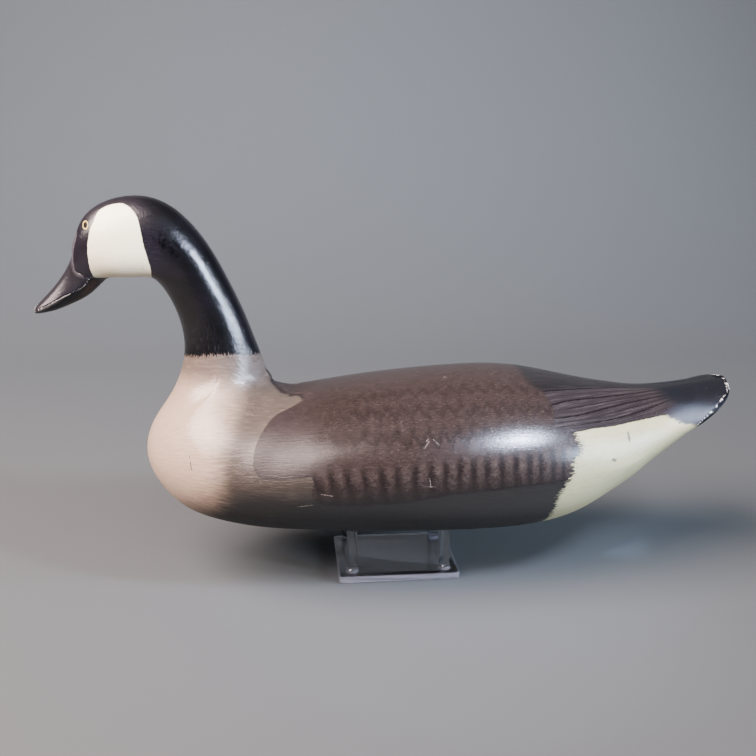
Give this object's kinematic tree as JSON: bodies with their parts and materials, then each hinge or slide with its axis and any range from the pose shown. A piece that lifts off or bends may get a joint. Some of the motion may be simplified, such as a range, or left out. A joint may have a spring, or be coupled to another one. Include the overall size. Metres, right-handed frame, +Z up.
{
  "type": "goose decoy",
  "caption": "Carved and painted goose decoy with a raised, curved neck, a lowered bill and a flat tail fan, lying on the round posts of a clear display stand.",
  "frame": {"origin": "on the ground, under the middle of the whole object's box", "axes": "+X towards the tail, -X towards the bill, +Y towards the bird's right side, +Z up"},
  "size_m": [0.6636, 0.23, 0.3655],
  "materials": {
    "painted_wood": "satin paint over carved wood",
    "clear_acrylic": "clear, polished"
  },
  "bodies": {
    "root": {"goose": "painted_wood", "display_stand": "clear_acrylic"}
  },
  "joints": []
}
